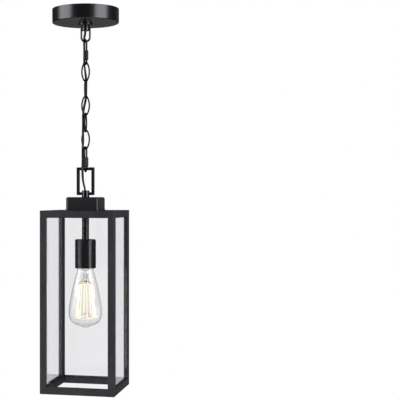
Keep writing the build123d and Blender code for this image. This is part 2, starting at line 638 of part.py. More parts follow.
def envelope(inset):
    """Solid pear of the bulb, moved inwards by inset: neck, cone, shoulder, corner, round end and tip."""
    half = BULB_D / 2
    shoulder_x = half - BULB_SHOULDER_R
    neck_x = BULB_NECK_D / 2
    # the cone from the neck is tangent to the shoulder arc
    reach = hypot(neck_x - shoulder_x, cup_rim_z - widest_z)
    lean = atan2(cup_rim_z - widest_z, neck_x - shoulder_x) - acos(BULB_SHOULDER_R / reach)
    shoulder_r = BULB_SHOULDER_R - inset
    cone = (shoulder_x + shoulder_r * cos(lean), widest_z + shoulder_r * sin(lean))
    flare_z = (cup_rim_z + cap_foot) / 2
    flare = (neck_x - (flare_z - cup_rim_z) * tan(lean) - inset / cos(lean), flare_z)
    neck_foot = (neck_glass_r - inset, cap_foot - SLIP_GAP)
    neck_top = (neck_glass_r - inset, neck_glass_top + inset)
    # the end arc, centred on the axis, is tangent to the corner arc
    corner_x = half - BULB_CORNER_R
    fall = widest_z - round_foot_z
    end_r = (corner_x**2 + fall**2 - BULB_CORNER_R**2) / (2 * (fall - BULB_CORNER_R))
    end_z = round_foot_z + end_r
    turn_angle = atan2(end_z - widest_z, corner_x)
    corner_r = BULB_CORNER_R - inset
    meet = (corner_x + corner_r * cos(turn_angle), widest_z - corner_r * sin(turn_angle))
    corner_mid = (corner_x + corner_r * cos(turn_angle / 2), widest_z - corner_r * sin(turn_angle / 2))
    shoulder_mid = (shoulder_x + shoulder_r * cos(lean / 2), widest_z + shoulder_r * sin(lean / 2))
    tip_r = BULB_TIP_D / 2 - inset
    end_inner = end_r - inset
    tip_z = end_z - sqrt(end_inner**2 - tip_r**2)
    end_mid_angle = (asin(tip_r / end_inner) + atan2(meet[0], end_z - meet[1])) / 2
    end_mid = (end_inner * sin(end_mid_angle), end_z - end_inner * cos(end_mid_angle))
    foot = round_foot_z - BULB_TIP_HEIGHT + inset
    sag = tip_z - foot
    ball_r = (tip_r**2 + sag**2) / (2 * sag)
    ball_half = asin(min(1, tip_r / ball_r)) / 2
    ball_mid = (ball_r * sin(ball_half), foot + ball_r * (1 - cos(ball_half)))

    def at(point):
        return (point[0], 0, point[1])

    outline = [
        Line(at((0, neck_top[1])), at(neck_top)),
        Line(at(neck_top), at(neck_foot)),
        Line(at(neck_foot), at(flare)),
        Line(at(flare), at(cone)),
        ThreePointArc(at(cone), at(shoulder_mid), at((half - inset, widest_z))),
        ThreePointArc(at((half - inset, widest_z)), at(corner_mid), at(meet)),
        ThreePointArc(at(meet), at(end_mid), at((tip_r, tip_z))),
        ThreePointArc(at((tip_r, tip_z)), at(ball_mid), at((0, foot))),
        Line(at((0, foot)), at((0, neck_top[1]))),
    ]
    return revolve(make_face(outline), Axis.Z)


def bulb_glass():
    return envelope(0) - envelope(BULB_GLASS)


def bulb_screw_cap():
    """Thin metal cap with a rolled round thread, closed above round the insulator."""
    shoulder_z = cap_top - BULB_SHOULDER
    body = rod(cap_root_r, cap_foot, shoulder_z)
    for n in range(int((shoulder_z - cap_foot) / BULB_THREAD_PITCH)):
        ridge_z = cap_foot + (n + 1) * BULB_THREAD_PITCH - BULB_THREAD_PITCH / 4
        ridge = RectangleRounded(2 * BULB_THREAD_DEPTH, BULB_THREAD_PITCH * 0.6, BULB_THREAD_DEPTH * 0.9)
        body += revolve(Plane.XZ * Pos(cap_root_r, ridge_z) * ridge, Axis.Z)
    body += Pos(0, 0, shoulder_z) * Cone(cap_root_r, bead_r + BULB_CAP_WALL, BULB_SHOULDER, align=STANDING)
    body -= rod(cap_inner_r, cap_foot - 1, shoulder_z - BULB_CAP_WALL)
    return body - rod(bead_r, cap_foot, cap_top + 1)


def bulb_insulator():
    """Bead that carries the tip contact."""
    return rod(bead_r, cap_top - BULB_SHOULDER - BULB_CAP_WALL, cap_top + BULB_INSULATOR_OUT)


def bulb_tip_contact():
    button = Cone(0.75 * bead_r, 0.5 * bead_r, BULB_TIP_CONTACT, align=STANDING)
    return Pos(0, 0, cap_top + BULB_INSULATOR_OUT) * button


mount_foot_z = cup_rim_z - MOUNT_BELOW_RIM
filament_top_z = cup_rim_z - FILAMENT_TOP
filament_foot_z = cup_rim_z - FILAMENT_FOOT


def bulb_mount():
    """Flared glass stem sealed into the neck, with a thin rod that carries the filament's wires."""
    flare_r = neck_glass_r - BULB_GLASS - SLIP_GAP
    flare_height = (neck_glass_top - mount_foot_z) / 2
    flare = Pos(0, 0, neck_glass_top - flare_height) * Cone(
        MOUNT_D / 2, flare_r, flare_height, align=STANDING)
    stem = rod(MOUNT_D / 2, mount_foot_z, neck_glass_top - flare_height)
    pin = rod(MOUNT_PIN_D / 2, filament_foot_z + SPIDER_RISE, mount_foot_z)
    return flare + stem + pin


def between(a, b, diameter):
    """Round wire from point a to point b."""
    line = Line(a, b)
    return sweep(Plane(origin=a, z_dir=line % 0) * Circle(diameter / 2), path=line)


def cage_point(n, radius, z):
    """Corner n of the filament's cage, at a radius and height."""
    turn_by = radians((n + 0.5) * 360 / FILAMENT_STRANDS)
    return (radius * cos(turn_by), radius * sin(turn_by), z)


def spider(hub_z, radius, hook_z):
    """Short wires from a hub on the mount's rod out to the cage's corners."""
    body = rod(SPIDER_HUB_D / 2, hub_z, hub_z + SPIDER_HUB)
    for n in range(FILAMENT_STRANDS):
        hub_point = cage_point(n, MOUNT_PIN_D / 2, hub_z + SPIDER_HUB / 2)
        body += between(hub_point, cage_point(n, radius, hook_z), SUPPORT_D)
    return body


def filament_supports():
    """Two lead wires from the stem to the upper spider, and a spider at each end of the cage."""
    upper_hub_z = filament_top_z + SPIDER_HUB
    body = spider(upper_hub_z, FILAMENT_TOP_R, filament_top_z)
    for n in (0, FILAMENT_STRANDS // 2):
        seal, hook = cage_point(n, MOUNT_D / 4, mount_foot_z), cage_point(n, FILAMENT_TOP_R, filament_top_z)
        body += between(seal, hook, SUPPORT_D)
    lower = spider(filament_foot_z + SPIDER_RISE, FILAMENT_FOOT_R, filament_foot_z)
    return Compound(children=[body - bulb_mount(), lower - bulb_mount()])


def filament():
    """Strands between the two spiders, which carry them at both ends."""
    strands = []
    strand_out = (SUPPORT_D + FILAMENT_D) / 2 + SLIP_GAP
    for n in range(FILAMENT_STRANDS):
        top = cage_point(n, FILAMENT_TOP_R + strand_out, filament_top_z)
        foot = cage_point(n, FILAMENT_FOOT_R + strand_out, filament_foot_z)
        strands.append(between(top, foot, FILAMENT_D))
    return Compound(children=strands)


keep("bulb_glass", bulb_glass())
keep("bulb_screw_cap", bulb_screw_cap())
keep("bulb_insulator", bulb_insulator())
keep("bulb_tip_contact", bulb_tip_contact())
keep("bulb_mount", bulb_mount())
keep("filament_supports", filament_supports())
keep("filament", filament())


# ---------------------------------------------------------------- cord

# Route chosen by hand: down the nipple, out behind the ceiling loop, along the left of the top quick link,
# behind links 1 and 2, forwards through link 3, in front of link 4, beside the bottom quick link, in front of
# the bail's top bar and down into the stud, then through the pipe to the lampholder.
cord_route = [
    (1.0, -1.0, -4.0),
    (1.2, -1.2, -17.0),
    (1.1, -1.0, -31.0),
    (0.3, -0.1, -46.0),
    (-4.2, 4.6, -62.0),
    (-4.0, 4.4, -82.0),
    (-4.5, 4.4, -102.0),
    (-2.2, 6.2, -122.0),
    (-0.8, 9.2, -142.0),
    (-1.4, 11.3, -163.0),
    (-1.0, 6.8, -181.0),
    (-3.1, -2.2, -199.0),
    (-4.1, -4.5, -219.0),
    (-3.7, -3.9, -242.0),
    (-3.5, -4.0, -263.0),
    (-5.0, -4.5, -285.0),
    (-5.3, -4.8, -307.0),
    (-5.3, -5.3, -329.0),
    (-4.8, -4.3, -348.0),
    (-0.8, -0.8, -366.0),
    (0.9, 0.7, -385.0),
    (1.2, 1.0, -412.0),
    (0.7, 0.6, -440.0),
    (0.0, 0.0, -462.0),
    (0.0, 0.0, pipe_foot_z - CORD_IN_HOLDER),
]


def corner_radii(points):
    """Largest arc at each corner: 0.45 of its shorter run over the tangent of half the turn."""
    radii = []
    for a, b, c in zip(points, points[1:], points[2:]):
        before, after = Vector(b) - Vector(a), Vector(c) - Vector(b)
        turn_angle = radians(before.get_angle(after))
        radii.append(0.45 * min(before.length, after.length) / tan(turn_angle / 2))
    return radii


def cord():
    radii = corner_radii(cord_route)
    print("cord corner radii, mm:", [round(r, 1) for r in radii])
    path = FilletPolyline(*cord_route, radius=radii)
    start = Plane(origin=path @ 0, z_dir=path % 0)
    tube_part = sweep(start * Circle(CORD_D / 2), path=path)
    print("cord length, mm:", round(path.length, 1), "volume ratio:",
          round(tube_part.volume / (path.length * pi * CORD_D**2 / 4), 4))
    return tube_part


keep("cord", cord())


# ---------------------------------------------------------------- one file per sub-part

for name, part in made.items():
    export_step(part, f"parts/{name}.step")
print(len(made), "sub-parts, foot at", round(frame_foot_z, 2))
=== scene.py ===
# %% [markdown]
# # A hanging lantern, piece by piece
# The lantern is a square glazed cage that hangs on a chain from a round canopy at the ceiling. Its metal
# parts arrive as a finished frame, already in place. This script gives each of them its real finish, and
# makes the soft and the very fine parts, the cord and the inside of the bulb, with Blender's own tools.
# Loading the frame first means that every later piece can ask it for a height or a width.

# %% Load the frame
import json
import math

import bmesh
import bpy
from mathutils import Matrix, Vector


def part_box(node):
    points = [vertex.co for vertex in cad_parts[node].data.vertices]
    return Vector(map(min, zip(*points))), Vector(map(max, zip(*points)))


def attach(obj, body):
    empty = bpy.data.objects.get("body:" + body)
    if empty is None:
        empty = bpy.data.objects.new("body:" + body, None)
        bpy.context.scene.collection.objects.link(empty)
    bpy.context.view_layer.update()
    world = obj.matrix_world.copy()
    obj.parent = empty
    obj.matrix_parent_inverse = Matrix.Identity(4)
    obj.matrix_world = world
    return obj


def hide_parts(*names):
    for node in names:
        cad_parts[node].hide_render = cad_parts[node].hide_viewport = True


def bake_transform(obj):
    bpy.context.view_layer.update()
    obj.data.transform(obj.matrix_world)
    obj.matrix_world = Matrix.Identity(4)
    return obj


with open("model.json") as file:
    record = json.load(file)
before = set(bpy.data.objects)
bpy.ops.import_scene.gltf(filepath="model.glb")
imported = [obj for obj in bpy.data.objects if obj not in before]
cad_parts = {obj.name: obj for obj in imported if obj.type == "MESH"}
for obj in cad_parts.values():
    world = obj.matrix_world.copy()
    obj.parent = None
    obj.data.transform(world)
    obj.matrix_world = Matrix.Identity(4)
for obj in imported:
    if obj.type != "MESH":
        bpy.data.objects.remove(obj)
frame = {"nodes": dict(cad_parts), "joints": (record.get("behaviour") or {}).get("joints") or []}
bpy.context.view_layer.update()
MM = 0.001

# %% [markdown]
# ## Where things are
# A chain swings where one link hangs in the next, so the frame gives a turning height for each joint. The
# cord has to bend at those same heights. Other sizes are read off the frame's own parts, which saves
# writing any of them twice.

# %% Read heights off the frame
swings = [joint for joint in frame["joints"] if joint["type"] == "hinge"]


def high(node):
    """Highest height of a part of the frame."""
    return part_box(node)[1].z


print("swing heights, mm:", [round(swing["pos_m"][2] / MM, 1) for swing in swings])

# %% [markdown]
# ## Camera
# A long lens a little over two metres away keeps the cage's uprights nearly parallel. The camera stands
# level with the bail, a little round to the lantern's right, and points straight at the lantern. Turning
# the camera could bring the lantern to the left of the picture, but it would also skew the square cage.
# A lens shift slides the picture sideways instead and leaves the cage's perspective as it is.

# %% Set up the camera
CAMERA_ROUND = math.radians(13.37)      # from straight in front, towards the right
CAMERA_AWAY = 2.156                     # m
CAMERA_HEIGHT = -0.3800                 # m, measured down from the ceiling
CAMERA_LENS = 95.97                     # mm, on a sensor 36 mm wide
CAMERA_SENSOR = 36.0
CAMERA_SHIFT = 0.286                    # share of the picture's width
CAMERA_DOWN = math.radians(0.14)        # tilt towards the floor

camera = bpy.data.objects.new("camera", bpy.data.cameras.new("camera"))
camera.data.lens = CAMERA_LENS
camera.data.sensor_width = CAMERA_SENSOR
camera.data.shift_x = CAMERA_SHIFT
camera.location = (CAMERA_AWAY * math.sin(CAMERA_ROUND), -CAMERA_AWAY * math.cos(CAMERA_ROUND),
                   CAMERA_HEIGHT)
camera.rotation_euler = (math.pi / 2 - CAMERA_DOWN, 0, CAMERA_ROUND)
bpy.context.scene.collection.objects.link(camera)
bpy.context.scene.camera = camera
bpy.context.scene.view_settings.view_transform = "Standard"
print("camera at", [round(value, 3) for value in camera.location])

# %% [markdown]
# ## Cord
# The lantern's cord is flat twin flex: two insulated wires side by side, laced loosely through the chain.
# It could be a row of short tubes, but a real cord has no corners, so it is one smooth NURBS line that
# carries a figure-of-eight outline. The twist at each point turns the flat side as the lacing does.

# %% Draw the line of the cord
CORD_ROUTE = [                          # mm, with the twist of the flat side in degrees last
    (0.3, -0.3, -4.0, 45), (0.3, -0.3, -17.0, 45), (0.2, -0.2, -31.0, 35),
    (-0.6, 0.6, -46.0, 20), (-2.8, 3.0, -54.0, 30), (-5.0, 5.3, -63.0, 55),
    (-4.6, 4.9, -74.0, 60), (-4.2, 4.6, -88.0, 55), (-4.8, 4.6, -103.0, 63),
    (-2.7, 6.4, -122.0, 50), (-0.8, 9.2, -142.0, 0), (-1.4, 11.3, -163.0, -15),
    (-1.0, 6.8, -181.0, -25), (-3.1, -2.2, -199.0, -37), (-4.3, -4.8, -215.0, -45),
    (-3.8, -4.1, -231.0, -35), (-4.6, -4.5, -247.0, -30), (-4.0, -4.1, -263.0, -25),
    (-5.0, -4.7, -282.0, -23), (-4.8, -4.8, -305.0, -15), (-5.2, -5.6, -326.0, 0),
    (-4.8, -4.4, -346.0, 40), (-0.4, -0.4, -366.0, 45), (0.2, 0.2, -384.0, 45),
    (0.4, 0.4, -412.0, 45), (0.3, 0.3, -440.0, 45), (0.0, 0.0, -462.0, 45),
    (0.0, 0.0, -482.62, 45),
]
CORD_WIDE = 4.6                         # mm across both wires
CORD_THICK = 2.4
CORD_PARED = 0.75                       # share of its size that is left in the lampholder
FLEX_OUTLINE = [                        # shares of half the width and half the thickness
    (1, 0), (1, 1), (0.5, 1.12), (0, 0.42), (-0.5, 1.12), (-1, 1),
    (-1, 0), (-1, -1), (-0.5, -1.12), (0, -0.42), (0.5, -1.12), (1, -1),
]


def nurbs(name, runs, closed=False):
    """Curve object of smooth lines. Each run is a list of points in millimetres."""
    curve = bpy.data.curves.new(name, "CURVE")
    curve.dimensions = "3D"
    for run in runs:
        spline = curve.splines.new("NURBS")
        spline.points.add(len(run) - 1)
        for point, place in zip(spline.points, run):
            point.co = (*[value * MM for value in place], 1)
        spline.use_cyclic_u = closed
        spline.order_u = 3
        spline.use_endpoint_u = not closed
    piece = bpy.data.objects.new(name, curve)
    bpy.context.scene.collection.objects.link(piece)
    return piece


outline = [(x * CORD_WIDE / 2, y * CORD_THICK / 2, 0) for x, y in FLEX_OUTLINE]
profile = nurbs("cord_outline", [outline], closed=True)
line = nurbs("cord_line", [[point[:3] for point in CORD_ROUTE]])
for point, (*_, twist) in zip(line.data.splines[0].points, CORD_ROUTE):
    point.tilt = math.radians(twist)
for point in line.data.splines[0].points[-2:]:
    point.radius = CORD_PARED
line.data.bevel_mode = "OBJECT"
line.data.bevel_object = profile
line.data.use_fill_caps = True
line.data.resolution_u = 10
profile.data.resolution_u = 4
print("cord line:", len(CORD_ROUTE), "points")

# %% [markdown]
# ## Cord in sections
# The cord bends wherever the chain does, and one mesh can only bend between two neighbours. So the finished
# tube is cut square between the turning heights, and each section covers one turning height. The last one is
# different: the stud holds the cord from its mouth down. Bisecting a bmesh makes clean cuts, and filling them
# keeps every section closed.


# %% Helpers that cut, and the whole cord
def made_mesh(piece, name):
    """New object with the mesh of a curve. The curve itself goes."""
    mesh = bpy.data.meshes.new_from_object(piece.evaluated_get(bpy.context.evaluated_depsgraph_get()))
    bpy.data.objects.remove(piece)
    made = bpy.data.objects.new(name, mesh)
    bpy.context.scene.collection.objects.link(made)
    return made


def cut_level(mesh_edit, height, keep_below):
    """Cuts a closed bmesh at a height, drops one side and closes the cut."""
    everything = mesh_edit.verts[:] + mesh_edit.edges[:] + mesh_edit.faces[:]
    cut = bmesh.ops.bisect_plane(mesh_edit, geom=everything, plane_co=(0, 0, height), plane_no=(0, 0, 1),
                                 clear_outer=keep_below, clear_inner=not keep_below)
    rim = [item for item in cut["geom_cut"] if isinstance(item, bmesh.types.BMEdge)]
    for edge in rim:
        edge.smooth = False
    bmesh.ops.edgeloop_fill(mesh_edit, edges=rim)


def shade_smooth(mesh_edit):
    """Smooth faces, but square ends stay flat."""
    for face in mesh_edit.faces:
        face.smooth = len(face.verts) <= 4


bpy.context.view_layer.update()
whole_cord = made_mesh(line, "whole_cord")
bpy.data.objects.remove(profile)
print("whole cord:", len(whole_cord.data.polygons), "faces")

# %% Cut the cord into sections
CORD_WELD = 0.02 * MM                   # points closer than this become one
CORD_CUTS = [-0.0880, -0.12785, -0.1618, -0.1959, -0.2301, -0.2642, -0.3045, -0.3500]   # m, heights
cord_sections = []
for number, swing in enumerate(swings):
    section = bmesh.new()
    section.from_mesh(whole_cord.data)
    bmesh.ops.remove_doubles(section, verts=section.verts[:], dist=CORD_WELD)
    if number > 0:
        cut_level(section, CORD_CUTS[number - 1], keep_below=True)
    if number < len(CORD_CUTS):
        cut_level(section, CORD_CUTS[number], keep_below=False)
    bmesh.ops.recalc_face_normals(section, faces=section.faces[:])
    shade_smooth(section)
    mesh = bpy.data.meshes.new(f"cord_{number + 1}")
    section.to_mesh(mesh)
    section.free()
    piece = bpy.data.objects.new(f"cord_{number + 1}", mesh)
    bpy.context.scene.collection.objects.link(piece)
    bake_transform(piece)
    cord_sections.append(piece)
bpy.data.objects.remove(whole_cord)
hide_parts("cord")
print("cord sections:", [len(piece.data.polygons) for piece in cord_sections])

# %% [markdown]
# ## The bulb's envelope
# A bulb of this kind is blown, so its skin has no edge anywhere and its foot is full and round, with a
# small blunt tip in the middle. It could be lathed from hard arcs, but glass smooths every change of curve
# by itself. So its outline is one smooth line, spun round, and a solidify operator gives it a wall. The
# wall is what makes the dark rim that clear bulbs have.

# %% Blow the envelope
bulb_top = high("bulb_glass") / MM
ENVELOPE = [                            # mm, radius and depth below the top of the neck
    (11.7, 0), (11.7, 2.0), (14.8, 4.4), (16.6, 9.0), (18.0, 16.0), (20.2, 23.5), (22.4, 31.5), (24.4, 39.5),
    (26.3, 47.5), (28.0, 55.5), (29.7, 63.5), (31.2, 71.5), (32.7, 79.5), (33.7, 87.5), (34.0, 94.0),
    (33.8, 100.5), (32.7, 106.5), (30.5, 111.5), (26.6, 115.8), (21.0, 119.2), (15.0, 121.3), (10.2, 121.9),
    (9.0, 122.5), (8.0, 124.2), (5.8, 125.6), (3.0, 126.1), (0, 126.1),
]
BULB_WALL = 0.9                         # mm
SPIN_WELD = 0.01 * MM


def mesh_of(mesh_edit, name):
    """Scene object from a bmesh, which is freed."""
    mesh = bpy.data.meshes.new(name)
    mesh_edit.to_mesh(mesh)
    mesh_edit.free()
    made = bpy.data.objects.new(name, mesh)
    bpy.context.scene.collection.objects.link(made)
    return made


def spun(line_piece, steps=64):
    """Bmesh of a smooth line in the XZ plane, turned about the Z axis. The line goes."""
    line_mesh = made_mesh(line_piece, "outline")
    turned = bmesh.new()
    turned.from_mesh(line_mesh.data)
    bpy.data.objects.remove(line_mesh)
    bmesh.ops.remove_doubles(turned, verts=turned.verts[:], dist=SPIN_WELD)
    bmesh.ops.spin(turned, geom=turned.verts[:] + turned.edges[:], cent=(0, 0, 0), axis=(0, 0, 1),
                   angle=2 * math.pi, steps=steps, use_merge=True)
    bmesh.ops.remove_doubles(turned, verts=turned.verts[:], dist=SPIN_WELD)
    bmesh.ops.recalc_face_normals(turned, faces=turned.faces[:])
    for face in turned.faces:
        face.smooth = True
    return turned


envelope_line = nurbs("envelope_line", [[(radius, 0, bulb_top - depth) for radius, depth in ENVELOPE]])
envelope_line.data.resolution_u = 3
envelope_edit = spun(envelope_line)
bmesh.ops.solidify(envelope_edit, geom=envelope_edit.faces[:], thickness=BULB_WALL * MM)
bmesh.ops.recalc_face_normals(envelope_edit, faces=envelope_edit.faces[:])
for face in envelope_edit.faces:
    face.smooth = True
envelope = mesh_of(envelope_edit, "blown_envelope")
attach(envelope, "bulb")
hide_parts("bulb_glass")
print("envelope:", len(envelope.data.polygons), "faces")

# %% [markdown]
# ## Inside the bulb: the glass mount
# A flared glass tube is melted to the bulb's neck, and its end is pinched flat while soft so that it seals
# round the wires. A thin glass rod goes on from there with a bead at each level of hooks. All of that is
# turned, so a spun outline makes it, wall and all. The pinch comes afterwards: the same rings are squeezed
# one way and pushed out the other.

# %% Spin and pinch the mount
cage_low, cage_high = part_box("filament")
CAGE_TOP = cage_high.z / MM             # mm, where the upper hooks are
CAGE_FOOT = cage_low.z / MM
mount_top = high("bulb_mount") / MM
rod_foot = CAGE_FOOT + 7.5
flare_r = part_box("bulb_mount")[1].x / MM
PINCH_REACH = 7.5                       # mm above and below its middle
PINCH_WIDER, PINCH_FLATTER = 0.5, 0.45  # shares gained in width and lost in thickness
PINCH = (CAGE_TOP + 25.0, CAGE_TOP + 15.0)      # mm, top and foot of the flat seal
MOUNT_OUTLINE = [                       # mm, radius and height, outside downwards and then up the bore
    (flare_r, mount_top), (flare_r - 1.2, mount_top - 1.0), (8.4, mount_top - 5.0), (5.6, mount_top - 11.0),
    (4.6, PINCH[0] + 4.0), (4.2, PINCH[0]), (4.0, PINCH[0] - 3.0), (4.0, PINCH[1] + 1.0), (3.0, PINCH[1]),
    (1.6, PINCH[1] - 1.2), (1.5, CAGE_TOP + 7.0), (2.5, CAGE_TOP + 5.6), (2.9, CAGE_TOP + 4.2),
    (2.5, CAGE_TOP + 2.8), (1.5, CAGE_TOP + 1.4), (1.5, rod_foot + 3.6), (2.2, rod_foot + 2.6),
    (2.5, rod_foot + 1.4), (1.8, rod_foot + 0.3), (0.0, rod_foot), (0.0, PINCH[0] - 1.0), (1.6, PINCH[0]),
    (3.3, PINCH[0] + 4.5), (4.4, mount_top - 11.0), (7.4, mount_top - 4.6), (flare_r - 2.0, mount_top),
    (flare_r, mount_top),
]
mount_line = nurbs("mount_line", [[(radius, 0, height) for radius, height in MOUNT_OUTLINE]])
mount_line.data.resolution_u = 3
mount_edit = spun(mount_line, steps=40)
pinch_middle = (PINCH[0] + PINCH[1]) / 2 + 1.0
for vert in mount_edit.verts:
    share = max(0.0, 1 - abs(vert.co.z / MM - pinch_middle) / PINCH_REACH)
    vert.co.x *= 1 + PINCH_WIDER * share
    vert.co.y *= 1 - PINCH_FLATTER * share
glass_mount = mesh_of(mount_edit, "glass_mount")
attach(glass_mount, "bulb")
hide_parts("bulb_mount")
print("glass mount:", len(glass_mount.data.polygons), "faces")

# %% [markdown]
# ## Inside the bulb: lead wires and hooks
# Two copper clad leads come out of the pinch and bend outwards to hold the filament, with a short stiff wire
# beside each that reaches the upper bead. Six hooks grow out of the upper bead and eight out of the lower
# one, and each ends in a small open curl that holds the filament without gripping it. They could be
# cylinders set end to end, but bent wire has no corners, so each is a smooth line with a round section that
# then becomes a closed mesh. Real wires are thinner than these, which are drawn thick enough to show.

# %% Places round the cage
STRANDS = 8
LEADS = (0, 4)                          # strands that a lead holds in place of an upper hook
TOP_R, FOOT_R = 12.6, 19.2              # mm, where the upper and lower curls hold the filament
LEAD_D, UPPER_HOOK_D, LOWER_HOOK_D = 0.8, 0.6, 0.4      # mm
SEAL = PINCH[1]                         # mm, foot of the pinch


def cage_point(number, radius, height):
    """Point round the cage, in millimetres."""
    angle = math.radians((number + 0.5) * 360 / STRANDS)
    return (radius * math.cos(angle), radius * math.sin(angle), height)


def wires(name, runs, diameter, body, replaced):
    """Round wires along smooth lines, as one closed mesh that rides a body."""
    line = nurbs(name + "_line", runs)
    line.data.bevel_depth = diameter / 2 * MM
    line.data.bevel_resolution = 2
    line.data.resolution_u = 5
    line.data.use_fill_caps = True
    piece = made_mesh(line, name)
    for face in piece.data.polygons:
        face.use_smooth = True
    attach(piece, body)
    if replaced:
        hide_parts(replaced)
    print(name, len(piece.data.polygons), "faces")
    return piece


print("first strand from", cage_point(0, TOP_R, CAGE_TOP), "to", cage_point(0, FOOT_R, CAGE_FOOT), "mm")

# %% Bend the leads and hooks
lead_runs, hook_runs, foot_runs = [], [], []
for number, side in zip(LEADS, (1, -1)):
    lead_runs.append([
        (4.0 * side, 0, SEAL + 5.5), (4.2 * side, 0, SEAL + 0.5), (4.6 * side, 0.6 * side, SEAL - 4.0),
        cage_point(number, 7.5, CAGE_TOP + 6.0), cage_point(number, TOP_R - 0.4, CAGE_TOP + 2.8),
        cage_point(number, TOP_R + 0.9, CAGE_TOP + 0.4), cage_point(number, TOP_R, CAGE_TOP - 1.1),
        cage_point(number, TOP_R - 1.1, CAGE_TOP - 0.2), cage_point(number, TOP_R - 0.2, CAGE_TOP + 1.2),
    ])
    lead_runs.append([
        (1.9 * side, 0, SEAL + 5.0), (2.0 * side, 0, SEAL), (2.6 * side, 0.8 * side, SEAL - 4.0),
        (2.3 * side, -0.6 * side, CAGE_TOP + 7.5), (2.6 * side, 0, CAGE_TOP + 3.8),
    ])
for number in range(STRANDS):
    if number not in LEADS:
        hook_runs.append([
            cage_point(number, 1.4, CAGE_TOP + 4.2), cage_point(number, 4.5, CAGE_TOP + 6.2),
            cage_point(number, 9.5, CAGE_TOP + 4.6), cage_point(number, TOP_R + 0.7, CAGE_TOP + 1.2),
            cage_point(number, TOP_R + 0.2, CAGE_TOP - 1.1), cage_point(number, TOP_R - 1.2, CAGE_TOP - 0.4),
            cage_point(number, TOP_R - 0.4, CAGE_TOP + 1.3),
        ])
    foot_runs.append([
        cage_point(number, 1.2, rod_foot + 1.4), cage_point(number, 6.0, rod_foot + 1.6),
        cage_point(number, 14.0, CAGE_FOOT + 3.8), cage_point(number, FOOT_R + 0.3, CAGE_FOOT + 0.1),
        cage_point(number, FOOT_R + 0.6, CAGE_FOOT + 1.2), cage_point(number, FOOT_R - 0.2, CAGE_FOOT + 1.7),
    ])
lead_wires = wires("lead_wires", lead_runs, LEAD_D, "bulb", "filament_supports")
upper_hooks = wires("upper_hooks", hook_runs, UPPER_HOOK_D, "bulb", None)
lower_hooks = wires("lower_hooks", foot_runs, LOWER_HOOK_D, "bulb", None)

# %% [markdown]
# ## Inside the bulb: the filament
# One tungsten wire runs from lead to lead. It drops to a lower hook, crosses to the next one, climbs back
# and crosses again at the top, so the cage has eight strands and no joint. The heat lets each strand bow
# out by a fraction of a millimetre, which is why they don't look ruled. A real one is a few tenths of a
# millimetre thick or less. This one is drawn several times as thick, so that it shows.

# %% Wind the filament
FILAMENT_D = 1.1                        # mm
BOW_OUT, BOW_ROUND = 0.6, 0.02          # mm outwards, and share of the way to the next strand
filament_run = []
for number in range(STRANDS):
    drop = [cage_point(number, TOP_R, CAGE_TOP), cage_point(number, TOP_R + 0.2, CAGE_TOP - 4.0),
            cage_point(number + BOW_ROUND, (TOP_R + FOOT_R) / 2 + BOW_OUT, (CAGE_TOP + CAGE_FOOT) / 2),
            cage_point(number, FOOT_R, CAGE_FOOT + 5.0), cage_point(number, FOOT_R, CAGE_FOOT + 0.8)]
    filament_run += drop if number % 2 == 0 else drop[::-1]
filament = wires("filament_wire", [filament_run], FILAMENT_D, "bulb", "filament")

# %% [markdown]
# ## Colours and nodes
# Every finish below is worked out by nodes, so nothing is painted or read from a picture. Colours are
# written as the hex values that a colour picker shows and turned into linear light by one function. A
# second function adds one node, sets it up and links it. Another node can be given as an input, so a recipe
# reads from its pattern to its shader with no lines that only link.


# %% Colour and node helpers
def hex_colour(code):
    """Linear colour from an sRGB hex value."""
    parts = [int(code[place:place + 2], 16) / 255 for place in (1, 3, 5)]
    return (*[part / 12.92 if part <= 0.04045 else ((part + 0.055) / 1.055) ** 2.4 for part in parts], 1)


def add(tree, kind, inputs=None, **settings):
    """Adds a node. An input is a value, a socket, or a node, which gives its first output in use."""
    node = tree.nodes.new(kind)
    for name, value in settings.items():
        setattr(node, name, value)
    for name, value in (inputs or {}).items():
        if isinstance(value, bpy.types.Node):
            value = next(output for output in value.outputs if output.enabled)
        if isinstance(value, bpy.types.NodeSocket):
            tree.links.new(value, node.inputs[name])
        else:
            node.inputs[name].default_value = value
    return node


def new_finish(name):
    """Empty material and its tree."""
    material = bpy.data.materials.new(name)
    material.use_nodes = True
    material.node_tree.nodes.clear()
    return material, material.node_tree


def lumps(size_mm):
    """Scale at which a noise has lumps of about this size."""
    return 1 / (size_mm * MM)


def dress(piece, finish):
    """Gives a whole piece one finish."""
    piece.data.materials.clear()
    piece.data.materials.append(finish)


NOISE_SPAN = {"From Min": 0.3, "From Max": 0.7}         # a noise seldom leaves this range
COLOUR_1, COLOUR_2 = 6, 7                               # the colour inputs of a Mix node, by number
print("white is", hex_colour("#ffffff")[:3])

# %% [markdown]
# ## Black powder coat
# The frame, cap, canopy and cup are steel with a black powder coat: dry powder melted into an even skin in an
# oven. It could be one dark grey, but then large flat rails look like plastic, so colour and gloss drift over
# several centimetres, slowly enough not to look like stains. The skin has a faint orange peel about two
# millimetres across with a finer grain on it. The finer grain is drawn at half a millimetre, coarser than
# the real one, so that it can show. Batches differ in gloss, and the same recipe makes four of them: satin
# on the canopy, bail, plate and cup, matt on the tubes, semi matt on the cap, gloss on the loop and stud.


